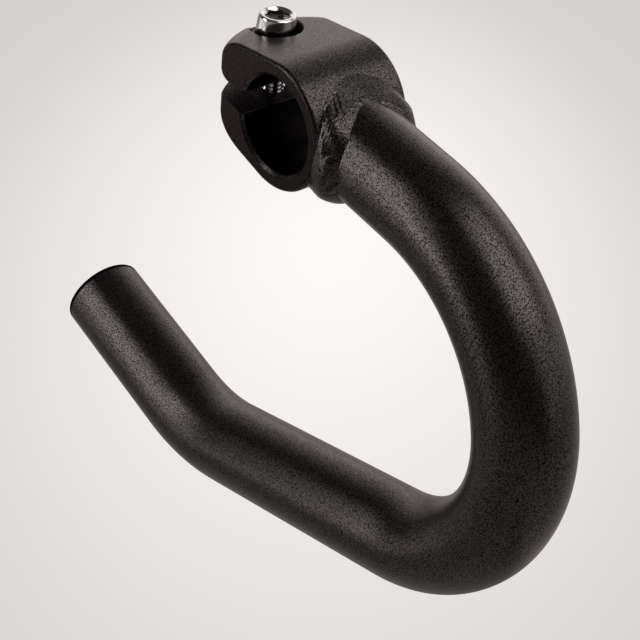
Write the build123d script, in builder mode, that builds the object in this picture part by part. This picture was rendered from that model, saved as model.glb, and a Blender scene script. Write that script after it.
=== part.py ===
from build123d import *
import os

# Drop-style bicycle bar end, in millimetres.
# The origin is the centre of the clamp's bore, +X runs along the bore towards the end that faces
# outwards, +Y points forward, where the tube leaves the clamp, and +Z runs up along the clamp bolt.

# Handlebar clamp
bar_diameter = 22.2
bore_chamfer = 0.9
clamp_side_step = 1.9
ring_diameter = 29.8
ring_edge_round = 1.0
ear_top_slope = 6.7
ear_bottom_slope = 15.5
upper_ear_reach = 24.0
lower_ear_reach = 23.4
ear_end_sweep = 0.77
ear_top_round = 5.0
ear_bottom_sweep = 0.26
slot_gap = 5.0
slot_floor_slope = 11.0
slot_mouth_round = 3.0

# Clamp bolt, M6 with a tapered socket head
bolt_offset = 16.7
bolt_diameter = 6.0
bolt_length = 20.0
bolt_tip_chamfer = 0.8
thread_clearance = 0.05
shank_clearance = 0.2
head_seat_height = 10.4
head_height = 6.0
head_base_diameter = 9.8
head_top_diameter = 8.2
head_edge_round = 0.5
head_pocket_diameter = 12.0
head_pocket_round = 0.4
hex_across_flats = 5.0
hex_depth = 3.2

# Bent tube, given as a bender reads it: straight runs and bends in one tilted plane
tube_diameter = 22.2
tube_wall = 2.0
nose_down_angle = 7.1
flare_angle = 6.0
neck_run = 34.35
reach_bend_radius = 51.0
reach_bend_angle = 62.9
drop_bend_radius = 36.3
drop_bend_angle = 94.7
lower_run = 61.2
grip_bend_radius = 44.2
grip_bend_angle = 29.1
grip_run = 41.2

# Weld between the clamp and the tube
weld_side_step = 0.1
weld_top_leg = 3.5
weld_front_leg = 5.3
weld_front_throat = 3.1
weld_round = 2.4

# Push-in end plug
plug_flange = 1.3
plug_flange_round = 0.6
plug_stem_length = 14.0
plug_stem_wall = 1.6
plug_stem_gap = 0.45
plug_rib_count = 4
plug_rib_width = 1.2
plug_rib_pitch = 3.0
plug_first_rib = 3.0

# Sizes worked out from the ones above
bar_radius = bar_diameter / 2
ring_radius = ring_diameter / 2
tube_radius = tube_diameter / 2
tube_bore_radius = tube_radius - tube_wall
clamp_width = tube_diameter + 2 * clamp_side_step
ear_end_radius = ear_end_sweep * clamp_width
ear_bottom_radius = ear_bottom_sweep * clamp_width
weld_half_width = clamp_width / 2 - weld_side_step
weld_half_height = tube_radius + weld_top_leg
weld_front_radius = tube_radius + weld_front_throat
weld_front_offset = ring_radius + weld_front_leg - weld_front_radius
head_pocket_radius = head_pocket_diameter / 2
shank_hole_radius = bolt_diameter / 2 + shank_clearance
tapped_hole_radius = bolt_diameter / 2 + thread_clearance

# Reach of the cutting tools, and the margin used when edges are picked by their place
far_out = 60.0
pick_margin = 0.1
standing = (Align.CENTER, Align.CENTER, Align.MIN)
hanging = (Align.CENTER, Align.CENTER, Align.MAX)

os.makedirs("parts", exist_ok=True)

# Plane of the bent tube: local x leaves the clamp, local y runs down the drop
drop_plane = Plane(
    origin=(0, 0, 0),
    x_dir=Vector(0, 1, 0).rotate(Axis.X, -nose_down_angle),
    z_dir=Vector(-1, 0, 0).rotate(Axis.Y, -flare_angle).rotate(Axis.X, -nose_down_angle),
)
# Section plane at the start of the tube, square to the neck
neck_plane = Plane(origin=drop_plane.origin, x_dir=(1, 0, 0), z_dir=drop_plane.x_dir)


def drop_route(first_run, last_run):
    """Centre line of the tube: three bends between straight runs, drawn flat and laid in its plane."""
    with BuildLine() as route:
        neck = Line((0, 0), (first_run, 0))
        reach_bend = JernArc(neck @ 1, neck % 1, reach_bend_radius, reach_bend_angle)
        drop_bend = JernArc(reach_bend @ 1, reach_bend % 1, drop_bend_radius, drop_bend_angle)
        lower = Line(drop_bend @ 1, (drop_bend @ 1) + (drop_bend % 1) * lower_run)
        grip_bend = JernArc(lower @ 1, lower % 1, grip_bend_radius, grip_bend_angle)
        Line(grip_bend @ 1, (grip_bend @ 1) + (grip_bend % 1) * last_run)
    return route.wires()[0].moved(drop_plane.location)


tube_route = drop_route(neck_run, grip_run - plug_flange)
tube_end = Plane(origin=tube_route @ 1, x_dir=drop_plane.z_dir, z_dir=tube_route % 1)

# The bolt stands upright behind the bore, with the underside of its head at this point
bolt_seat = Vector(0, -bolt_offset, head_seat_height)
bolt_axis = Axis(bolt_seat, (0, 0, 1))
bolt_plane = Plane(origin=bolt_seat, x_dir=(0, 1, 0), z_dir=(1, 0, 0))

# Clamp: a ring with two ears behind it, the slot between them running into the bore
upper_tangent = PolarLocations(ring_radius, 1, 90 + ear_top_slope).locations[0].position
lower_tangent = PolarLocations(ring_radius, 1, -90 - ear_bottom_slope).locations[0].position
upper_far = upper_tangent - Vector(far_out, 0).rotate(Axis.Z, ear_top_slope)
lower_far = lower_tangent - Vector(far_out, 0).rotate(Axis.Z, -ear_bottom_slope)
slot_floor_start = Vector(-bar_radius, -slot_gap / 2)
slot_floor_far = slot_floor_start - Vector(upper_ear_reach, 0).rotate(Axis.Z, -slot_floor_slope)

with BuildPart() as clamp:
    with BuildSketch(Plane.YZ):
        Circle(ring_radius)
        with BuildLine():
            Polyline(
                (0, 0),
                (upper_tangent.X, upper_tangent.Y),
                (upper_far.X, upper_far.Y),
                (lower_far.X, lower_far.Y),
                (lower_tangent.X, lower_tangent.Y),
                close=True,
            )
        make_face()
    extrude(amount=clamp_width / 2, both=True)
    # Seen from above, each ear ends in one wide arc, the lower ear a little sooner
    with BuildPart(mode=Mode.INTERSECT):
        for reach, side in ((upper_ear_reach, 1), (lower_ear_reach, -1)):
            with BuildSketch(Plane.XY.offset(slot_gap / 2)):
                with Locations((0, ear_end_radius - reach)):
                    Circle(ear_end_radius)
                with Locations((0, far_out / 2)):
                    Rectangle(clamp_width, far_out)
            extrude(amount=side * far_out)
    # Slot, from behind the ears to the middle of the bore, with its floor rising towards its mouth
    with BuildSketch(Plane.YZ):
        with BuildLine():
            Polyline(
                (0, slot_gap / 2),
                (slot_floor_far.X, slot_gap / 2),
                (slot_floor_far.X, slot_floor_far.Y),
                (-bar_radius, -slot_gap / 2),
                (0, -slot_gap / 2),
                close=True,
            )
        make_face()
    extrude(amount=clamp_width, both=True, mode=Mode.SUBTRACT)

    # The ear ends are round above and below, and the upper ear also at the mouth of the slot
    ear_end_edges = clamp.edges().filter_by(lambda edge: edge.center().Y < pick_margin - lower_ear_reach)
    ear_end_edges = ear_end_edges.sort_by(Axis.Z)
    fillet(ear_end_edges[0], ear_bottom_radius)
    fillet(ear_end_edges[2], slot_mouth_round)
    fillet(ear_end_edges[3], ear_top_round)
    # Both side faces have a soft outer edge, except along the slot
    side_edges = clamp.faces().filter_by(Axis.X).edges()
    outer_edges = side_edges.filter_by(
        lambda edge: edge.center().Y < -bolt_offset or abs(edge.center().Z) > slot_gap / 2 + pick_margin
    )
    fillet(outer_edges, ring_edge_round)
    # Bore for the handlebar, with a lead-in at each mouth
    with BuildSketch(Plane.YZ):
        Circle(bar_radius)
    extrude(amount=clamp_width / 2, both=True, mode=Mode.SUBTRACT)
    bore_mouths = clamp.faces().filter_by(Axis.X).edges().filter_by(GeomType.CIRCLE)
    chamfer(bore_mouths.filter_by(lambda edge: abs(edge.radius - bar_radius) < pick_margin), bore_chamfer)
    # Pocket for the bolt head, clearance hole through the upper ear and tapped hole in the lower ear
    with Locations((0, -bolt_offset, head_seat_height)):
        Cylinder(head_pocket_radius, far_out, align=standing, mode=Mode.SUBTRACT)
    pocket_mouth = clamp.edges().filter_by(lambda edge: edge.center().Z > head_seat_height + pick_margin)
    pocket_mouth = pocket_mouth.filter_by(
        lambda edge: abs(Vector((edge @ 0.5).X, (edge @ 0.5).Y + bolt_offset).length - head_pocket_radius)
        < pick_margin
    )
    fillet(pocket_mouth, head_pocket_round)
    with Locations((0, -bolt_offset, 0)):
        Cylinder(shank_hole_radius, far_out, align=standing, mode=Mode.SUBTRACT)
        Cylinder(tapped_hole_radius, far_out, align=hanging, mode=Mode.SUBTRACT)
clamp.part.label = "clamp"
export_step(clamp.part, "parts/clamp.step")

# Bent tube, coped to the ring of the clamp
with BuildPart() as drop_tube:
    with BuildSketch(neck_plane):
        Circle(tube_radius)
        Circle(tube_bore_radius, mode=Mode.SUBTRACT)
    sweep(path=tube_route)
    with BuildSketch(Plane.YZ):
        Circle(ring_radius)
    extrude(amount=clamp_width, both=True, mode=Mode.SUBTRACT)
drop_tube.part.label = "drop_tube"
export_step(drop_tube.part, "parts/drop_tube.step")

# Weld: a full, rounded bead that fills the corner between the ring and the tube
with BuildPart() as weld_bead:
    with BuildSketch(neck_plane):
        Ellipse(weld_half_width, weld_half_height)
    extrude(amount=neck_run)
    with BuildSketch(Plane.YZ):
        with Locations((weld_front_offset, 0)):
            Circle(weld_front_radius)
    extrude(amount=clamp_width, both=True, mode=Mode.INTERSECT)
    bead_nose = weld_bead.edges().sort_by(Axis.Y)[-1]
    fillet(bead_nose, weld_round)
    with BuildSketch(neck_plane):
        Circle(tube_radius)
    extrude(amount=neck_run, mode=Mode.SUBTRACT)
    with BuildSketch(Plane.YZ):
        Circle(ring_radius)
    extrude(amount=clamp_width, both=True, mode=Mode.SUBTRACT)
weld_bead.part.label = "weld_bead"
export_step(weld_bead.part, "parts/weld_bead.step")

# End plug: flange over the end of the tube, and a hollow ribbed stem pressed inside it
with BuildPart() as end_plug:
    with BuildSketch(tube_end):
        Circle(tube_radius)
    extrude(amount=plug_flange)
    fillet(end_plug.faces().sort_by(Axis(tube_end.origin, tube_end.z_dir))[-1].edges(), plug_flange_round)
    with BuildSketch(tube_end):
        Circle(tube_bore_radius - plug_stem_gap)
    extrude(amount=-plug_stem_length)
    for rib in range(plug_rib_count):
        with BuildSketch(tube_end.offset(-plug_first_rib - rib * plug_rib_pitch)):
            Circle(tube_bore_radius)
        extrude(amount=-plug_rib_width)
    with BuildSketch(tube_end):
        Circle(tube_bore_radius - plug_stem_gap - plug_stem_wall)
    extrude(amount=-plug_stem_length, mode=Mode.SUBTRACT)
end_plug.part.label = "end_plug"
export_step(end_plug.part, "parts/end_plug.step")

# Clamp bolt, turned about its own axis, with a hexagon socket
with BuildPart() as clamp_bolt:
    with BuildSketch(bolt_plane):
        with BuildLine():
            Polyline(
                (0, -bolt_length),
                (bolt_diameter / 2 - bolt_tip_chamfer, -bolt_length),
                (bolt_diameter / 2, -bolt_length + bolt_tip_chamfer),
                (bolt_diameter / 2, 0),
                (head_base_diameter / 2, 0),
                (head_top_diameter / 2, head_height),
                (0, head_height),
                close=True,
            )
        make_face()
    revolve(axis=bolt_axis)
    fillet(clamp_bolt.edges().filter_by(GeomType.CIRCLE).sort_by(Axis.Z)[-1], head_edge_round)
    with BuildSketch(Plane(bolt_seat).offset(head_height)):
        RegularPolygon(hex_across_flats / 2, 6, major_radius=False)
    extrude(amount=-hex_depth, mode=Mode.SUBTRACT)
clamp_bolt.part.label = "clamp_bolt"
export_step(clamp_bolt.part, "parts/clamp_bolt.step")
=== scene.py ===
# %% [markdown]
# Drop-style bicycle bar end
# A forged clamp closes round the end of a flat handlebar, and a bent aluminium tube is welded to its front.
# It is painted satin black, with a bright clamp bolt and a black plug in the open end of the tube. The
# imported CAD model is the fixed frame: every piece below is placed by it, in metres.

# %% Load the frame
import math

import bpy
import numpy as np
from mathutils import Matrix, Vector


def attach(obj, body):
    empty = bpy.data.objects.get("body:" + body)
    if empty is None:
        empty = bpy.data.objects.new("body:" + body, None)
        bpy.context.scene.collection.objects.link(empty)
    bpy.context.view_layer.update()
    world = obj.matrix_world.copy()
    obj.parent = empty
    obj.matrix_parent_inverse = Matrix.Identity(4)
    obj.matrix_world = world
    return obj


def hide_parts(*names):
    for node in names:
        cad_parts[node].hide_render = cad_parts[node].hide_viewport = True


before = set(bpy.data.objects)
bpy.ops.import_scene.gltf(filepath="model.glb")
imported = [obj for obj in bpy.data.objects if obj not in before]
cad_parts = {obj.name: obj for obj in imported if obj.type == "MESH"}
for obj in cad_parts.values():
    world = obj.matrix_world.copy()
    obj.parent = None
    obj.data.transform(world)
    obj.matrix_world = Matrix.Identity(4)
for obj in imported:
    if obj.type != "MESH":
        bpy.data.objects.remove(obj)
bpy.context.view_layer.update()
mm = 0.001

# %% [markdown]
# Camera
# The photograph is taken from in front of the part and above it, a little to the outer side, with a long
# lens. A camera could be made to track a point, but then it always stands upright, and this picture is a
# little tilted. So the camera is built from the direction that it looks in and the direction that is down
# in the picture, which is how a photographer would describe it.

# %% Place the camera
photo_size = 640
photo_focal_pixels = 1433.3
sensor_width = 36.0
camera_place = Vector((189.15, 204.00, 158.15)) * mm
view_forward = Vector((-0.549, -0.5677, -0.6135)).normalized()
picture_down = Vector((0.3362, 0.5219, -0.7839))
camera_right = picture_down.cross(view_forward).normalized()
camera_up = camera_right.cross(view_forward)

camera_data = bpy.data.cameras.new("photo_camera")
camera_data.sensor_width = sensor_width
camera_data.lens = sensor_width * photo_focal_pixels / photo_size
camera_data.clip_start = 10 * mm
camera = bpy.data.objects.new("photo_camera", camera_data)
camera_turn = Matrix((camera_right, camera_up, -view_forward)).transposed()
camera.matrix_world = Matrix.Translation(camera_place) @ camera_turn.to_4x4()
bpy.context.scene.collection.objects.link(camera)
bpy.context.scene.camera = camera
print("lens", round(camera_data.lens, 2), "mm, right", [round(x, 3) for x in camera_right])

# %% [markdown]
# Helpers for materials
# A material is a small network of nodes. It could be drawn by hand in the shader editor. In a script, a few
# short helpers keep it readable: they make a node and set its plain values, join sockets, and start a
# material or a node group. A node group is a network that several materials share.

# %% Node helpers
def add_node(tree, kind, settings=None, **values):
    """A new node of that kind: settings are its options, values are its unlinked input sockets."""
    made = tree.nodes.new(kind)
    for option, choice in (settings or {}).items():
        setattr(made, option, choice)
    for socket, value in values.items():
        made.inputs[socket.replace("_", " ")].default_value = value
    return made


def math_node(tree, operation, second=None):
    """A Math node, and its second number where that one is fixed."""
    made = add_node(tree, "ShaderNodeMath", {"operation": operation})
    if second is not None:
        made.inputs[1].default_value = second
    return made


def join(tree, *links):
    """Links between sockets, each as node, output, node, input. A socket goes by its name or number."""
    for start, output, end, entry in links:
        tree.links.new(start.outputs[output], end.inputs[entry])


# %% Start a material or a node group
def new_material(name):
    """An empty node material: the material, its tree and its output node."""
    material = bpy.data.materials.new(name)
    material.use_nodes = True
    tree = material.node_tree
    tree.nodes.clear()
    return material, tree, tree.nodes.new("ShaderNodeOutputMaterial")


def new_group(name, inputs, outputs):
    """An empty node group with its two end nodes. inputs are name, kind and usual value or None."""
    group = bpy.data.node_groups.new(name, "ShaderNodeTree")
    for socket, kind, usual in inputs:
        made = group.interface.new_socket(socket, in_out="INPUT", socket_type=kind)
        if usual is not None:
            made.default_value = usual
    for socket in outputs:
        group.interface.new_socket(socket, in_out="OUTPUT", socket_type="NodeSocketFloat")
    return group, group.nodes.new("NodeGroupInput"), group.nodes.new("NodeGroupOutput")


print("helpers:", [helper.__name__ for helper in (add_node, math_node, join, new_material, new_group)])

# %% [markdown]
# Grain
# Paint over blasted aluminium has a fine, even tooth that breaks its highlights into specks. Plastic and
# plated steel have a finer one. A picture of such a surface could be laid on, but noise needs no picture
# and has no seams. All three finishes share this node group: one noise for the tooth that shows as specks,
# and a finer one that is added to the height alone.

# %% Fine grain node group
finer_by = 2.3


def build_fine_grain():
    """Height and speckle of a surface with so many grains per metre."""
    inputs = (("Vector", "NodeSocketVector", None), ("Grains per metre", "NodeSocketFloat", 3000.0))
    group, start, end = new_group("fine_grain", inputs, ("Height", "Speckle"))
    coarse = add_node(group, "ShaderNodeTexNoise", Detail=2.0, Roughness=0.6)
    fine_scale = math_node(group, "MULTIPLY", finer_by)
    fine = add_node(group, "ShaderNodeTexNoise", Detail=1.0, Roughness=0.5)
    both = math_node(group, "ADD")
    join(
        group,
        (start, "Vector", coarse, "Vector"),
        (start, "Grains per metre", coarse, "Scale"),
        (start, "Grains per metre", fine_scale, 0),
        (start, "Vector", fine, "Vector"),
        (fine_scale, 0, fine, "Scale"),
        (coarse, "Fac", both, 0),
        (fine, "Fac", both, 1),
        (both, 0, end, "Height"),
        (coarse, "Fac", end, "Speckle"),
    )
    return group


fine_grain = build_fine_grain()
print("node group:", fine_grain.name)

# %% [markdown]
# Handling marks
# Nothing that has been handled is equally glossy all over. Single scratches could be drawn, but on a clean
# part a slow, cloudy mask is enough. The finishes use it to vary their roughness and tone by a little.

# %% Cloudy wear node group
def build_cloudy_wear():
    """A mask of soft clouds, so many per metre."""
    inputs = (("Vector", "NodeSocketVector", None), ("Clouds per metre", "NodeSocketFloat", 60.0))
    group, start, end = new_group("cloudy_wear", inputs, ("Mask",))
    cloud = add_node(group, "ShaderNodeTexNoise", Detail=5.0, Roughness=0.55, Distortion=0.4)
    spread = add_node(group, "ShaderNodeMapRange", From_Min=0.35, From_Max=0.68)
    join(
        group,
        (start, "Vector", cloud, "Vector"),
        (start, "Clouds per metre", cloud, "Scale"),
        (cloud, "Fac", spread, "Value"),
        (spread, "Result", end, "Mask"),
    )
    return group


cloudy_wear = build_cloudy_wear()
print("node group:", cloudy_wear.name)

# %% [markdown]
# Darker spaces
# Two places carry painted shade, darker than the surface round them: the bore of the clamp, which is
# painted almost black for the shade deep inside it, and the hexagon socket of the bolt, for the shade in
# its recess.
# A second material would have to be set face by face, and the CAD meshes stay as they are. So a mask goes
# by
# the place in space: it is 1 inside a round or oval space and 0 outside. The space has a centre, a stretch
# for each axis (0 makes it endless that way) and a radius.

# %% Hole mask node group
mask_edge_end = 1.015


def build_hole_mask():
    """A mask that is 1 within the radius of the centre, with a narrow soft edge."""
    inputs = (
        ("Vector", "NodeSocketVector", None),
        ("Centre", "NodeSocketVector", None),
        ("Stretch", "NodeSocketVector", None),
        ("Radius", "NodeSocketFloat", None),
    )
    group, start, end = new_group("hole_mask", inputs, ("Mask",))
    apart = add_node(group, "ShaderNodeVectorMath", {"operation": "SUBTRACT"})
    shaped = add_node(group, "ShaderNodeVectorMath", {"operation": "MULTIPLY"})
    away = add_node(group, "ShaderNodeVectorMath", {"operation": "LENGTH"})
    ratio = math_node(group, "DIVIDE")
    edge = add_node(group, "ShaderNodeMapRange", From_Min=mask_edge_end, From_Max=1.0)
    join(
        group,
        (start, "Vector", apart, 0),
        (start, "Centre", apart, 1),
        (apart, 0, shaped, 0),
        (start, "Stretch", shaped, 1),
        (shaped, 0, away, 0),
        (away, "Value", ratio, 0),
        (start, "Radius", ratio, 1),
        (ratio, 0, edge, "Value"),
        (edge, "Result", end, "Mask"),
    )
    return group


hole_mask = build_hole_mask()
print("node group:", hole_mask.name)

# %% [markdown]
# Pits and duller sides
# The paint's tooth has pits that stay black even in a highlight. Bump alone is too fine for the camera to
# see. A pit traps light, and a metal with an almost black colour does the same, so the speckle raises
# Metallic instead. The bore's painted shade uses the same trick: there Metallic is full, so its walls
# mirror almost nothing. The clamp's two flat sides look duller and darker than the tube at the same slope,
# so there
# Metallic is raised everywhere by the same share.

# %% Metallic of the pitted paint
pit_starts_at = 0.60
pit_full_at = 0.38
bore_middle = (0.0, 0.0, 0.0)
along_bore = (1.0, 0.0, 0.0)


def space_mask(tree, place, centre, stretch, radius):
    """The hole mask round one space of a piece."""
    mask = add_node(
        tree, "ShaderNodeGroup", {"node_tree": hole_mask}, Centre=centre, Stretch=stretch, Radius=radius
    )
    join(tree, (place, "Object", mask, "Vector"))
    return mask


def add_pits(tree, place, grain, bore, pits, duller_sides):
    """The node that gives Metallic: pits is their depth, bore is the mask of the bore's painted shade, and
    the duller sides' place and dullness come last, or None.
    """
    pit = add_node(tree, "ShaderNodeMapRange", From_Min=pit_starts_at, From_Max=pit_full_at, To_Max=pits)
    # painted shade in the bore: its mask sets Metallic to full there, so the near-black bore mirrors almost
    # nothing
    deepest = math_node(tree, "MAXIMUM")
    join(tree, (grain, "Speckle", pit, "Value"), (bore, "Mask", deepest, 0), (pit, "Result", deepest, 1))
    if not duller_sides:
        return deepest
    half_width, dullness = duller_sides
    # the clamp's flat sides: Metallic is raised there by the dullness share, so they look darker
    middle = space_mask(tree, place, bore_middle, along_bore, half_width)
    shine = add_node(tree, "ShaderNodeMapRange", To_Min=1.0 - dullness)
    duller = add_node(tree, "ShaderNodeMix", {"data_type": "FLOAT"}, A=1.0)
    join(
        tree,
        (middle, "Mask", shine, "Value"),
        (shine, "Result", duller, "Factor"),
        (deepest, 0, duller, "B"),
    )
    return duller


print("pits where the speckle is under", pit_starts_at)

# %% [markdown]
# One recipe for the finishes
# Satin paint, moulded plastic and zinc plate differ in colour, metal and scale. Each could have a network
# of its own. But each is two tones mixed by the cloudy mask, a roughness that follows that mask and the
# speckle, and a bump from the grain, so one recipe with different numbers makes all of them.

# %% Build a grained finish
wear_share = 0.6
roughest_at = 1.2


def grained_finish(
    name, dark, light, rough, grain_size, grain_depth, clouds, hole=None, pits=None, duller_sides=None, **values
):
    """A finish, in metres. rough is its smoothest and roughest, hole is centre, stretch, radius and colour
    of the painted shade in a hole, the duller sides are half width and dullness, and values are for the
    shader's own sockets."""
    material, tree, output = new_material(name)
    shader = add_node(tree, "ShaderNodeBsdfPrincipled", **values)
    place = tree.nodes.new("ShaderNodeTexCoord")
    grain = add_node(tree, "ShaderNodeGroup", {"node_tree": fine_grain}, Grains_per_metre=1.0 / grain_size)
    wear = add_node(tree, "ShaderNodeGroup", {"node_tree": cloudy_wear}, Clouds_per_metre=clouds)
    tone = add_node(tree, "ShaderNodeMix", {"data_type": "RGBA"}, A=dark, B=light)
    both = math_node(tree, "MULTIPLY_ADD", wear_share)
    gloss = add_node(tree, "ShaderNodeMapRange", From_Max=roughest_at, To_Min=rough[0], To_Max=rough[1])
    bump = add_node(tree, "ShaderNodeBump", Strength=1.0, Distance=grain_depth)
    join(
        tree,
        (shader, "BSDF", output, "Surface"),
        (place, "Object", grain, "Vector"),
        (place, "Object", wear, "Vector"),
        (wear, "Mask", tone, "Factor"),
        (wear, "Mask", both, 0),
        (grain, "Speckle", both, 2),
        (both, 0, gloss, "Value"),
        (gloss, "Result", shader, "Roughness"),
        (grain, "Height", bump, "Height"),
        (bump, "Normal", shader, "Normal"),
    )
    colour = tone
    # painted shade in a hole: inside the mask the colour turns to the darker colour given for the hole
    if hole:
        inside = space_mask(tree, place, *hole[:3])
        colour = add_node(tree, "ShaderNodeMix", {"data_type": "RGBA"}, B=hole[3])
        join(tree, (inside, "Mask", colour, "Factor"), (tone, "Result", colour, "A"))
    join(tree, (colour, "Result", shader, "Base Color"))
    if pits:
        join(tree, (add_pits(tree, place, grain, inside, pits, duller_sides), 0, shader, "Metallic"))
    print("finish:", name)
    return material


# %% [markdown]
# Black paint
# The paint is nearly black with a warm sheen, and its bore is painted blacker still, as painted shade. A
# plain dark colour with a clear coat could stand for it, but then the light bands on the tube would be
# smooth, and on the real one they break up into specks. The clamp has the same paint, with duller flat
# sides.

# %% Mix the paint
# painted shade: inside the bore the paint is nearly black, standing for the shade deep in it
bore_painted_shade = (bore_middle, (0.0, 1.0, 1.0), 11.2 * mm, (0.0020, 0.0016, 0.0016, 1.0))
# the clamp's flat sides, which look darker than the tube at the same slope
clamp_sides = (12.8 * mm, 0.80)
black_paint = dict(
    dark=(0.0040, 0.0018, 0.0018, 1.0),
    light=(0.0066, 0.0036, 0.0036, 1.0),
    rough=(0.275, 0.315),
    grain_size=0.33 * mm,
    grain_depth=0.014 * mm,
    clouds=45.0,
    hole=bore_painted_shade,
    pits=0.98,
    IOR=1.74,
    Specular_Tint=(1.0, 0.88, 0.87, 1.0),
)
satin_paint = grained_finish("satin_black_paint", **black_paint)
duller_side_paint = grained_finish("duller_side_black_paint", duller_sides=clamp_sides, **black_paint)

# %% [markdown]
# Plastic and plated steel
# The plug is a matt black plastic that hardly shines at all. The bolt is zinc plated and bright. Its socket
# is painted darker, as painted shade in the recess. That shade starts just under the chamfer, so that the
# chamfer itself stays bright.

# %% Mix the plastic and the plated steel
bolt_axis_y = -16.7
bolt_seat_z = 10.4
socket_middle = (0.0, bolt_axis_y * mm, (bolt_seat_z + 3.6) * mm)
# painted shade: inside the socket the steel is darker, standing for the shade in the recess
socket_painted_shade = (socket_middle, (1.0, 1.0, 0.6), 3.05 * mm, (0.45, 0.44, 0.43, 1.0))
moulded_plastic = grained_finish(
    "moulded_black_plastic",
    dark=(0.0012, 0.0011, 0.0011, 1.0),
    light=(0.0024, 0.0021, 0.0021, 1.0),
    rough=(0.55, 0.72),
    grain_size=0.25 * mm,
    grain_depth=0.010 * mm,
    clouds=90.0,
    IOR=1.10,
)
plated_steel = grained_finish(
    "zinc_plated_steel",
    dark=(0.58, 0.57, 0.56, 1.0),
    light=(0.80, 0.79, 0.78, 1.0),
    rough=(0.05, 0.14),
    grain_size=0.30 * mm,
    grain_depth=0.002 * mm,
    clouds=350.0,
    hole=socket_painted_shade,
    Metallic=1.0,
)

# %% [markdown]
# Mesh helper
# A curve with a round bevel makes a plain tube, and a screw modifier turns a plain profile, but neither
# makes a coped end, a weld with marks or a thread with a hexagon above it. So the pieces below are grids of
# points: rows that go round, stacked one after the other. One helper turns such a grid into a mesh.

# %% Mesh from rings of points
def mesh_from_rings(name, rings, closed_loop=False, capped=False, sharp_degrees=40.0):
    """rings is an array of rows x points x 3, in metres, and every row closes on itself. The last row joins
    the first in a closed loop, or each end gets a cap, or the ends stay open."""
    rows, count = rings.shape[:2]
    points = rings.reshape(-1, 3)
    index = np.arange(rows * count).reshape(rows, count)
    after = np.roll(index, -1, axis=1)
    last = rows if closed_loop else rows - 1
    faces = []
    for row in range(last):
        following = (row + 1) % rows
        quad = np.stack([index[row], after[row], after[following], index[following]], axis=1)
        faces.extend(quad.tolist())
    if capped:
        points = np.vstack([points, rings[0].mean(axis=0), rings[-1].mean(axis=0)])
        first_cap = np.full(count, rows * count)
        faces.extend(np.stack([after[0], index[0], first_cap], axis=1).tolist())
        faces.extend(np.stack([index[-1], after[-1], first_cap + 1], axis=1).tolist())
    mesh = bpy.data.meshes.new(name)
    mesh.from_pydata(points.tolist(), [], faces)
    mesh.validate()
    mesh.shade_smooth()
    mesh.set_sharp_from_angle(angle=math.radians(sharp_degrees))
    piece = bpy.data.objects.new(name, mesh)
    bpy.context.scene.collection.objects.link(piece)
    print(name, "points:", len(points), "faces:", len(faces))
    return piece


# %% [markdown]
# Route of the tube
# A tube bender works from a table: a straight run, then a bend by an angle round a die, and so on. A curve
# drawn by eye would come close, but the table gives true arcs. The whole bar end lies in one plane, tilted
# nose down and flared outwards. The stations along the route are worked out from the table, each with its
# place, its direction and how far it is inside a bend.

# %% Bend table
nose_down = math.radians(-7.1)
flare = math.radians(-6.0)
neck_run = 34.35 * mm
# die radius, degrees of bend, straight run to the next bend or to the plug
bends = (
    (51.0 * mm, 62.9, 0.0),
    (36.3 * mm, 94.7, 61.2 * mm),
    (44.2 * mm, 29.1, 39.9 * mm),
)
nose_turn = Matrix.Rotation(nose_down, 3, "X")
leaves = nose_turn @ Vector((0, 1, 0))
plane_normal = nose_turn @ (Matrix.Rotation(flare, 3, "Y") @ Vector((-1, 0, 0)))
leaves_a = np.array(leaves)
drops_a = np.array(plane_normal.cross(leaves))
normal_a = np.array(plane_normal)
print("the neck leaves along", leaves_a.round(3), "and the tube drops along", drops_a.round(3))

# %% Stations along the route
station_step = 1.25 * mm


def tube_stations():
    """Flat points, headings in radians and bend depths (0 to 1) along the route, from the bore's centre."""
    points = [(0.0, 0.0)]
    headings = [0.0]
    depths = [0.0]

    def run(length):
        steps = max(2, round(length / station_step))
        for _ in range(steps):
            x, y = points[-1]
            step = length / steps
            points.append((x + step * math.cos(headings[-1]), y + step * math.sin(headings[-1])))
            headings.append(headings[-1])
            depths.append(0.0)

    run(neck_run)
    for radius, degrees, following_run in bends:
        angle = math.radians(degrees)
        steps = round(radius * angle / station_step)
        x0, y0 = points[-1]
        h0 = headings[-1]
        cx = x0 - radius * math.sin(h0)
        cy = y0 + radius * math.cos(h0)
        for k in range(1, steps + 1):
            heading = h0 + angle * k / steps
            points.append((cx + radius * math.sin(heading), cy - radius * math.cos(heading)))
            headings.append(heading)
            depths.append(math.sin(math.pi * k / steps))
        if following_run > 0:
            run(following_run)
    return np.array(points), np.array(headings), np.array(depths)


stations, headings, depths = tube_stations()
centres = stations[:, :1] * leaves_a + stations[:, 1:] * drops_a
print("tube stations:", len(centres), "end at", (centres[-1] / mm).round(2))

# %% [markdown]
# Tube
# The tube is one long skin: outside from the clamp to the open end, over the end, back along the inside and
# across the coped start. That makes it a closed solid with a real wall, and no modifier is needed. Bending
# flattens a tube a little, so the section is slightly wide across the bend and slightly thin in its plane.

# %% Rings of the tube
tube_radius = 11.1 * mm
tube_wall = 2.0 * mm
ring_radius = 14.9 * mm
cope_sink = 0.25 * mm
clear_of_ring = 15.2 * mm
cope_rings = 4
tube_sides = 96
flatten = 0.012
around = np.linspace(0, 2 * math.pi, tube_sides, endpoint=False)


def tube_ring(station, radius):
    """One ring of points round a station, a little oval where the tube is bent."""
    inward = -math.sin(headings[station]) * leaves_a + math.cos(headings[station]) * drops_a
    oval = flatten * depths[station]
    across = radius * (1 + oval) * np.cos(around)
    within = radius * (1 - oval) * np.sin(around)
    return centres[station] + across[:, None] * normal_a + within[:, None] * inward


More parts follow.
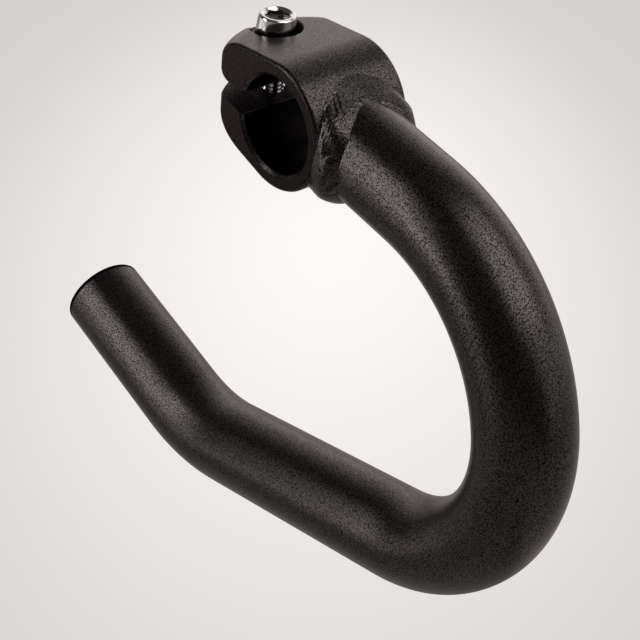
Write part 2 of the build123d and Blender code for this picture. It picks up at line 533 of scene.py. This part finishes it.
def coped_start(radius):
    """Where each line along the neck meets the ring of the clamp, from the equation of a circle."""
    across = radius * np.cos(around)[:, None] * normal_a
    within = radius * np.sin(around)[:, None] * drops_a
    spread = across + within
    sy = spread[:, 1]
    sz = spread[:, 2]
    reach = ring_radius - cope_sink
    a = leaves_a[1] ** 2 + leaves_a[2] ** 2
    b = 2 * (sy * leaves_a[1] + sz * leaves_a[2])
    c = sy ** 2 + sz ** 2 - reach ** 2
    distance = (-b + np.sqrt(b * b - 4 * a * c)) / (2 * a)
    return spread + distance[:, None] * leaves_a


cope_y = coped_start(tube_radius)[:, 1] / mm
print("the cope runs from", cope_y.min().round(2), "to", cope_y.max().round(2), "mm forward")


# %% Bent tube
def tube_skin(radius):
    """Rings from the coped start to the open end."""
    first_whole = int(np.ceil(clear_of_ring / station_step)) + 1
    start = coped_start(radius)
    whole = tube_ring(first_whole, radius)
    rings = [start + (whole - start) * k / cope_rings for k in range(cope_rings)]
    for station in range(first_whole, len(centres)):
        rings.append(tube_ring(station, radius))
    return rings


outside = tube_skin(tube_radius)
inside = tube_skin(tube_radius - tube_wall)[::-1]
bent_tube = mesh_from_rings("bent_tube", np.array(outside + inside), closed_loop=True)
bent_tube.data.materials.append(satin_paint)
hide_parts("drop_tube")
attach(bent_tube, "bar_end")

# %% [markdown]
# Weld
# The weld is laid by hand, so it is the least regular thing on the part. It could be sculpted, but a table
# can be read, measured and changed. Its skin starts on the clamp's ring and ends on the tube. Round the
# neck, the table says how far along the tube its toe reaches, and a squarish oval says how far out it
# starts, so that it covers the edge of the ring at the sides.

# %% Outline of the weld
side = np.array((1.0, 0.0, 0.0))
above = np.cross(side, leaves_a)
weld_columns = 720
turn_deg = np.linspace(-180.0, 180.0, weld_columns, endpoint=False)
turn_rad = np.radians(turn_deg)
# degrees round the neck, mm along it
toe_table = (
    (-180, 20.2), (-150, 19.6), (-120, 18.9), (-90, 18.3), (-60, 19.0), (-29, 19.5),
    (-14, 20.3), (-5, 20.6), (6, 20.0), (20, 19.5), (31, 19.0), (43, 18.3),
    (53, 16.9), (67, 15.6), (77, 14.3), (87, 13.6), (98, 14.3), (109, 15.5),
    (121, 16.6), (133, 17.9), (146, 18.9), (160, 19.6), (170, 20.1), (180, 20.2),
)
toe_reach = np.interp(turn_deg, *np.array(toe_table).T)
half_width = 13.02
half_height = np.where(turn_deg > 0, 14.1, 13.3)
squareness = np.where(turn_deg > 0, 2.4, 2.3)
wide_share = np.abs(np.cos(turn_rad) / half_width) ** squareness
high_share = np.abs(np.sin(turn_rad) / half_height) ** squareness
out_start = (wide_share + high_share) ** (-1 / squareness)
mean_out = out_start.mean()
print("weld starts", out_start.min().round(1), "to", out_start.max().round(1), "mm out of the neck's axis")

# %% [markdown]
# Seat on the ring
# The first row of the skin lies just inside the ring, also where the ring's edge is rounded off by a
# millimetre, so no gap shows. How far along the neck that is follows from the ring's circle.

# %% First row of the weld
seat_radius = 14.78
edge_round_from = 12.0
deepest_inset = 0.98
edge_inset = np.clip(np.abs(out_start * np.cos(turn_rad)) - edge_round_from, 0, deepest_inset)
ring_here = seat_radius - (1 - np.sqrt(1 - edge_inset ** 2))
reach_start = np.sqrt(ring_here ** 2 - (out_start * np.sin(turn_rad)) ** 2)
print("weld starts", reach_start.min().round(1), "to", reach_start.max().round(1), "mm along the neck")

# %% [markdown]
# Marks of the torch
# Every mark on the weld is a stroke: a short line drawn round the neck (in degrees) and along it (in mm),
# with a width and a height. A negative height is a groove. The big hollow by the toe is a dab. The ripples
# are three trains of small waves that fade out away from the place where the torch was hottest. A bump
# would be lighter to make, but the marks break the weld's outline, so they are real shape.

# %% Strokes and dabs
# points of the stroke, width, height
strokes = (
    (((66.0, 9.0), (62.1, 10.7), (59.4, 12.1), (57.6, 13.6)), 0.30, -0.17),
    (((60.5, 9.6), (56.2, 11.3), (52.0, 12.9)), 0.28, -0.14),
    (((41.0, 12.4), (45.5, 11.2), (52.0, 10.4)), 0.34, -0.16),
    (((40.5, 11.6), (45.5, 10.6), (52.5, 9.8)), 0.30, 0.11),
    (((63.0, 9.4), (59.0, 11.2), (55.0, 13.2)), 0.36, 0.08),
    (((77.0, 12.3), (83.0, 13.1)), 0.16, 0.14),
    (((68.0, 13.2), (75.5, 13.9)), 0.16, 0.14),
    (((88.0, 11.9), (93.0, 12.7)), 0.15, 0.10),
    (((108.0, 14.1), (114.2, 15.0), (121.2, 15.9), (129.0, 16.9)), 0.22, 0.26),
    (((15.0, 17.2), (21.0, 18.4), (26.5, 18.7)), 0.30, 0.12),
    (((28.5, 14.2), (20.0, 15.2), (9.0, 15.8), (-8.0, 16.0)), 0.60, 0.07),
)
# degrees round, mm along, width, length, height
dabs = (
    (22.0, 16.9, 2.0, 1.7, -0.75),
    (31.0, 14.6, 1.2, 1.0, -0.25),
    (-16.0, 17.6, 4.2, 2.2, 0.30),
    (140.0, 15.8, 3.6, 2.0, 0.30),
    (47.0, 15.2, 3.2, 2.6, 0.18),
)


def stroke_height(across, along, path, width, height):
    """Height of one stroke at points given in mm round and along the neck."""
    nearest = np.full(across.shape, np.inf)
    for (deg_a, a_along), (deg_b, b_along) in zip(path[:-1], path[1:]):
        ax = math.radians(deg_a) * mean_out
        dx = math.radians(deg_b) * mean_out - ax
        dy = b_along - a_along
        share = ((across - ax) * dx + (along - a_along) * dy) / (dx * dx + dy * dy)
        share = np.clip(share, 0, 1)
        gap = np.hypot(across - ax - share * dx, along - a_along - share * dy)
        nearest = np.minimum(nearest, gap)
    return height * np.exp(-((nearest / width) ** 2))


def dab_height(across, along, degrees, place, wide, long, height):
    """Height of one dab, a soft round hill or hollow, at the same points."""
    beside = across - math.radians(degrees) * mean_out
    return height * np.exp(-((beside / wide) ** 2) - ((along - place) / long) ** 2)


print("strokes:", len(strokes), "dabs:", len(dabs))

# %% Ripples
hottest = (9.9, 15.6)
hot_reach = (4.3, 2.5)
ripple_rest = 0.006
ripple_hot = 0.075
# waves along, waves across, wavelength, bend of the crests, strength
ripple_trains = (
    (0.98, 0.2, 0.82, 1.0, 1.0),
    (0.45, -0.9, 0.66, -1.3, 0.5),
    (0.6, 0.8, 1.7, 0.7, 0.7),
)


def ripples(across, along):
    """Height of the waves, strongest on the upper near side of the weld."""
    beside = (across - hottest[0]) / hot_reach[0]
    beyond = (along - hottest[1]) / hot_reach[1]
    hot = np.exp(-(beside ** 2) - beyond ** 2)
    wobble = 0.9 * np.sin(across * 1.7 + 0.6 * along) + 0.6 * np.sin(along * 2.9 - across * 0.8)
    waves = 0.0
    for per_along, per_across, wavelength, bend, strength in ripple_trains:
        phase = 2 * math.pi * (along * per_along + across * per_across) / wavelength + bend * wobble
        waves = waves + strength * np.sin(phase)
    return (ripple_rest + ripple_hot * hot) * waves / 2


print("trains of ripples:", len(ripple_trains))

# %% [markdown]
# Skin of the weld
# Between its start and its toe the skin follows a smooth curve that leaves the ring gently and drops
# steeply to the tube. The curve is worked out from both ends and the slope at each, as in a curve with
# handles. The marks are added to it, fading to nothing at both ends so that it stays sealed.

# %% Curve from the ring to the toe
weld_rows = 70
tube_contact = 10.95
least_steep = 0.2
steepest_start = 0.9
share = np.linspace(0, 1, weld_rows)[:, None]
length = toe_reach - reach_start
along = reach_start + share * length
steepness = np.maximum(np.sin(turn_rad) ** 2, least_steep)
ring_slope = -np.minimum(reach_start / (out_start * steepness), steepest_start)
# the start follows the ring above and below the neck, and lies flat at its sides
start_slope = ring_slope * np.clip((np.abs(np.sin(turn_rad)) - 0.70) / 0.22, 0, 1)
# the toe is steep all round but on top, where it runs out softly
toe_slope = -1.6 + 1.25 * np.clip((np.sin(turn_rad) - 0.56) / 0.40, 0, 1)
start_blend = 2 * share ** 3 - 3 * share ** 2 + 1
start_slope_blend = share ** 3 - 2 * share ** 2 + share
toe_slope_blend = share ** 3 - share ** 2
smooth_out = start_blend * out_start + start_slope_blend * length * start_slope
smooth_out = smooth_out + (1 - start_blend) * tube_contact + toe_slope_blend * length * toe_slope
print("the smooth skin reaches", smooth_out.max().round(2), "mm out")

# %% Marks on the curve
across = turn_rad[None, :] * mean_out + 0 * along
marks = ripples(across, along)
for stroke in strokes:
    marks = marks + stroke_height(across, along, *stroke)
for dab in dabs:
    marks = marks + dab_height(across, along, *dab)
start_fade = 0.10
toe_fade = 0.06
fade = np.clip(share / start_fade, 0, 1) * np.clip((1 - share) / toe_fade, 0, 1)
outward = np.maximum(smooth_out + marks * fade, tube_contact)
print("marks from", marks.min().round(2), "to", marks.max().round(2), "mm")

# %% [markdown]
# The skin alone would be open underneath. Two hidden rows close it: one in the tube's wall below the toe,
# and one inside the ring.

# %% Weld mesh
hidden_radius = 10.6
hidden_ring = 14.6
toe_tuck = 0.3


def weld_points(outward, along):
    """Places in metres from the distance out of the neck's axis and the distance along it, in mm."""
    spread = np.cos(turn_rad)[:, None] * side + np.sin(turn_rad)[:, None] * above
    return (outward[..., None] * spread + along[..., None] * leaves_a) * mm


hidden_out = np.stack([np.full(weld_columns, hidden_radius)] * 2)
under_ring = np.sqrt(hidden_ring ** 2 - (hidden_radius * np.sin(turn_rad)) ** 2)
hidden_along = np.stack([toe_reach - toe_tuck, under_ring])
weld_rings = np.concatenate([weld_points(outward, along), weld_points(hidden_out, hidden_along)])
laid_weld = mesh_from_rings("laid_weld", weld_rings, closed_loop=True, sharp_degrees=60.0)
laid_weld.data.materials.append(satin_paint)
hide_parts("weld_bead")
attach(laid_weld, "bar_end")

# %% [markdown]
# Clamp bolt
# An M6 bolt with a tapered head. Its profile is turned round the bolt's axis, from the tip up: the thread,
# the underside of the head, the tapered side, the rounded rim, the chamfer of the socket and the socket
# itself. The thread is a real helix, a millimetre for each turn, made by shifting each row's radius with
# the angle. All heights are in mm above the seat of the head.

# %% Shank and thread
bolt_sides = 144
bolt_length = 20.0
socket_turn = math.radians(33.0)
spin = socket_turn + np.linspace(0, 2 * math.pi, bolt_sides, endpoint=False)
level = np.ones(bolt_sides)
tip_radius = 2.18
thread_from = -19.9
thread_to = -1.3
thread_rows_apart = 0.1
thread_pitch = 1.0
thread_crest = 2.97
thread_depth = 0.58
root_flat = 0.14
flank_share = 0.74
bolt_rows = [(tip_radius * level, -bolt_length * level)]
for z in np.arange(thread_from, thread_to, thread_rows_apart):
    phase = (z / thread_pitch - spin / (2 * math.pi)) % 1.0
    tooth = np.clip((np.abs(2 * phase - 1) - root_flat) / flank_share, 0, 1)
    fade_in = min(1.0, thread_to - z)
    radius = thread_crest - thread_depth * (1 - tooth) * fade_in
    tip_chamfer = tip_radius + (z + bolt_length)
    bolt_rows.append((np.minimum(radius, tip_chamfer), z * level))
print("rows of thread:", len(bolt_rows))

# %% Head
# each row is a radius and a height, in mm
head_height = 6.0
head_radius = 4.2
rim_round = 0.55
rim_steps = 8
taper = math.radians(7.0)
under_head = [(2.98, thread_to), (2.98, -0.25), (3.2, 0.0), (4.72, 0.0)]
side_heights = (0.15, 0.3, 2.0, 4.0, 5.2, 5.4)
rim_centre = head_radius - rim_round
rim_start_radius = rim_centre + rim_round * math.cos(taper)
rim_start_height = head_height - rim_round + rim_round * math.sin(taper)
tapered_side = []
for z in side_heights:
    tapered_side.append((rim_start_radius + (rim_start_height - z) * math.tan(taper), z))
rounded_rim = []
for k in range(rim_steps + 1):
    angle = taper + (math.pi / 2 - taper) * k / rim_steps
    rim_height = head_height - rim_round + rim_round * math.sin(angle)
    rounded_rim.append((rim_centre + rim_round * math.cos(angle), rim_height))
for radius, z in under_head + tapered_side + rounded_rim:
    bolt_rows.append((radius * level, z * level))
print("rows up to the rim:", len(bolt_rows))

# %% [markdown]
# Socket of the bolt
# The radius of a hexagon changes with the angle, so a row of points can follow it like any other. A hexagon
# cut by a boolean would look the same, and leave a less even mesh. A cone-shaped chamfer cuts its corners
# deeper than its flats.

# %% Hexagon socket
socket_half_width = 2.5
chamfer_radius = 3.3
chamfer_top = 5.97
chamfer_slope = 0.75
lip = 0.05
# share of the hexagon, height
socket_wall = ((0.985, 2.9), (0.94, 2.75))
drill_radius = 0.9
drill_bottom = 2.35
hexagon = socket_half_width / np.cos((spin - socket_turn) % math.radians(60) - math.radians(30))
chamfer_foot = chamfer_top - (chamfer_radius - hexagon) * chamfer_slope
bolt_rows.append((chamfer_radius * level + lip, head_height * level))
bolt_rows.append((chamfer_radius * level, chamfer_top * level))
bolt_rows.append((hexagon, chamfer_foot))
bolt_rows.append((hexagon * 0.995, chamfer_foot - lip))
for hexagon_share, z in socket_wall:
    bolt_rows.append((hexagon * hexagon_share, z * level))
bolt_rows.append((drill_radius * level, drill_bottom * level))
print("bolt rows:", len(bolt_rows), "socket", round(2 * hexagon.min(), 2), "mm across its flats")

# %% [markdown]
# The rows become rings round the bolt's axis, and the piece rides on the bolt's own body, so it turns when
# the clamp is tightened.

# %% Bolt mesh
bolt_rings = []
for radius, z in bolt_rows:
    ring = np.stack([radius * np.cos(spin), bolt_axis_y + radius * np.sin(spin), bolt_seat_z + z], axis=1)
    bolt_rings.append(ring * mm)
socket_bolt = mesh_from_rings("socket_bolt", np.array(bolt_rings), capped=True, sharp_degrees=32.0)
socket_bolt.data.materials.append(plated_steel)
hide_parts("clamp_bolt")
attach(socket_bolt, "bolt")

# %% [markdown]
# Pieces that keep their CAD shape
# The forged clamp and the end plug are already right in the CAD model, with their fillets and ribs, so they
# are not made again. They only get the paint with the duller flat sides, and the plastic.

# %% Paint the carried-over pieces
def finish_node(node, material):
    """Gives a carried-over CAD node its finish in every material slot."""
    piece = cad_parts[node]
    piece.data.materials.clear()
    piece.data.materials.append(material)
    print("finished:", node)


finish_node("clamp", duller_side_paint)
finish_node("end_plug", moulded_plastic)

# %% [markdown]
# Floor
# The photograph's ground is a pale, faintly warm grey that is lightest in the middle. Lamps on a white
# floor could draw that, but they would change the part as well. So the floor is far below the part and
# glows softly to the camera, and it still takes a shadow.

# %% Lay the floor
floor_height = -0.34
floor_size = 8.0
floor_middle_tone = (0.985, 0.945, 0.937, 1.0)
floor_edge_tone = (0.676, 0.645, 0.641, 1.0)
floor_matt_tone = (0.6, 0.58, 0.57, 1.0)
bpy.ops.mesh.primitive_plane_add(size=floor_size, location=(0, 0, floor_height))
floor = bpy.context.object
floor.name = "floor"
floor_material, floor_tree, floor_output = new_material("pale_floor")
floor.data.materials.append(floor_material)
floor_place = floor_tree.nodes.new("ShaderNodeTexCoord")
print("floor:", floor_size, "m wide,", -floor_height, "m below the bore")


# %% Tone of the floor
def away_from(centre, turn, reach):
    """How far a point of the floor is from the centre of a turned oval: 1 on the oval's edge."""
    oval = add_node(
        floor_tree,
        "ShaderNodeMapping",
        {"vector_type": "TEXTURE"},
        Location=centre,
        Rotation=(0.0, 0.0, turn),
        Scale=reach,
    )
    away = add_node(floor_tree, "ShaderNodeVectorMath", {"operation": "LENGTH"})
    join(floor_tree, (floor_place, "Object", oval, "Vector"), (oval, "Vector", away, 0))
    return away


light_pool = away_from(centre=(-0.31, -0.311, 0.0), turn=math.radians(-44.4), reach=(0.29, 0.497, 1.0))
falloff = add_node(floor_tree, "ShaderNodeMapRange", {"interpolation_type": "SMOOTHSTEP"})
ground_tone = add_node(
    floor_tree, "ShaderNodeMix", {"data_type": "RGBA"}, A=floor_middle_tone, B=floor_edge_tone
)
join(floor_tree, (light_pool, "Value", falloff, "Value"), (falloff, "Result", ground_tone, "Factor"))
print("floor tones:", floor_middle_tone[:3], "to", floor_edge_tone[:3])

# %% [markdown]
# Floor in reflections
# The paint mirrors the floor. There the floor is dimmer than the camera sees it, but for the patch that the
# strip lamp stands over: that patch draws the white band on the side of the bolt's head. A colour ramp
# gives the level by the distance from the patch. Its last two stops share a place, so that the level rises
# towards that distance and falls at once beyond it, as at the end of a lit sheet.

# %% Level in reflections
patch_span = 4.0
# distance from the middle of the patch (1 on its edge), level
patch_levels = (
    (0.0, 1.6), (0.9, 1.5), (1.25, 0.60), (1.6, 0.40), (2.3, 0.45),
    (3.1, 0.56), (3.7, 0.36), (4.0, 1.0), (4.0, 0.65),
)
patch = away_from(centre=(0.76, -0.57, 0.0), turn=math.radians(-37.0), reach=(0.30, 0.50, 1.0))
patch_share = math_node(floor_tree, "DIVIDE", patch_span)
mirrored = floor_tree.nodes.new("ShaderNodeValToRGB")
stops = mirrored.color_ramp.elements
for away, _ in patch_levels[1:-1]:
    stops.new(away / patch_span)
for stop, (_, brightness) in zip(stops, patch_levels):
    stop.color = (brightness, brightness, brightness, 1.0)
join(floor_tree, (patch, "Value", patch_share, 0), (patch_share, 0, mirrored, "Fac"))
print("stops of the ramp:", [round(stop.position, 3) for stop in stops])

# %% [markdown]
# The floor glows for rays that come from the camera or from a shiny surface, and is plain matt for all
# others, so that it adds no light to the part.

# %% Join the floor's material
glow_level = add_node(floor_tree, "ShaderNodeMix", {"data_type": "FLOAT"}, A=1.0)
glow = add_node(floor_tree, "ShaderNodeEmission")
matt = add_node(floor_tree, "ShaderNodeBsdfDiffuse", Color=floor_matt_tone)
rays = floor_tree.nodes.new("ShaderNodeLightPath")
seen = math_node(floor_tree, "MAXIMUM")
blend = floor_tree.nodes.new("ShaderNodeMixShader")
join(
    floor_tree,
    (ground_tone, "Result", glow, "Color"),
    (rays, "Is Glossy Ray", glow_level, "Factor"),
    (mirrored, "Color", glow_level, "B"),
    (glow_level, "Result", glow, "Strength"),
    (rays, "Is Camera Ray", seen, 0),
    (rays, "Is Glossy Ray", seen, 1),
    (seen, 0, blend, "Fac"),
    (matt, "BSDF", blend, 1),
    (glow, "Emission", blend, 2),
    (blend, "Shader", floor_output, "Surface"),
)
print("floor nodes:", len(floor_tree.nodes))

# %% [markdown]
# Lamps
# Three soft lamps show in the paint: a broad one overhead, a tall strip on the camera's left and a weak
# fill on its right. Point lamps would only draw dots. The size of an area lamp makes the bands on the tube
# wide or narrow. Each is as bright as it looks in a mirror, so its power follows from its size.

# %% Hang the lamps
lamp_distance = 1.1
# name, direction, upright, width, height, radiance
lamp_table = (
    ("overhead", (-0.27, 0.45, 0.852), (0.0, 0.91, -0.4), 1.06, 0.88, 2.55),
    ("left_strip", (0.83, -0.47, 0.24), (-0.36, -0.14, 0.81), 0.34, 1.10, 4.6),
    ("right_fill", (-0.55, 0.78, 0.36), (0.0, 0.0, 1.0), 1.15, 0.80, 0.75),
)


def soft_lamp(name, direction, upright, width, height, radiance):
    """A rectangular lamp that faces the part from that direction, with a radiance of 1 for plain white."""
    data = bpy.data.lights.new(name, "AREA")
    data.shape = "RECTANGLE"
    data.size = width
    data.size_y = height
    data.energy = radiance * math.pi * width * height
    lamp = bpy.data.objects.new(name, data)
    towards = Vector(direction).normalized()
    sideways = Vector(upright).cross(towards).normalized()
    facing_part = Matrix((sideways, towards.cross(sideways), towards)).transposed()
    lamp.matrix_world = Matrix.Translation(towards * lamp_distance) @ facing_part.to_4x4()
    bpy.context.scene.collection.objects.link(lamp)
    print("lamp:", name, round(data.energy, 2), "W")


for lamp_values in lamp_table:
    soft_lamp(*lamp_values)

# %% [markdown]
# Room
# Around the lamps the room is dim behind the camera and pale behind the part, which is what draws the light
# rims. An evenly lit world would leave the rims dark. The camera itself sees a background as pale as the
# floor's edge.

# %% Light the room
pale_side = (-0.80, -0.50, -0.25)
room_colour = (1.0, 0.97, 0.96, 1.0)
world = bpy.data.worlds.new("room")
bpy.context.scene.world = world
world.use_nodes = True
room_tree = world.node_tree
room_tree.nodes.clear()
room_output = room_tree.nodes.new("ShaderNodeOutputWorld")
room_place = room_tree.nodes.new("ShaderNodeTexCoord")
facing = add_node(room_tree, "ShaderNodeVectorMath", {"operation": "DOT_PRODUCT"})
facing.inputs[1].default_value = pale_side
room_level = add_node(
    room_tree,
    "ShaderNodeMapRange",
    {"interpolation_type": "SMOOTHSTEP"},
    From_Min=0.2,
    From_Max=0.95,
    To_Min=0.07,
    To_Max=1.4,
)
room_light = add_node(room_tree, "ShaderNodeBackground", Color=room_colour)
pale_back = add_node(room_tree, "ShaderNodeBackground", Color=floor_edge_tone)
room_rays = room_tree.nodes.new("ShaderNodeLightPath")
either = room_tree.nodes.new("ShaderNodeMixShader")
join(
    room_tree,
    (room_place, "Generated", facing, 0),
    (facing, "Value", room_level, "Value"),
    (room_level, "Result", room_light, "Strength"),
    (room_rays, "Is Camera Ray", either, "Fac"),
    (room_light, "Background", either, 1),
    (pale_back, "Background", either, 2),
    (either, "Shader", room_output, "Surface"),
)
bpy.context.scene.view_settings.view_transform = "Standard"
print("room nodes:", len(room_tree.nodes))
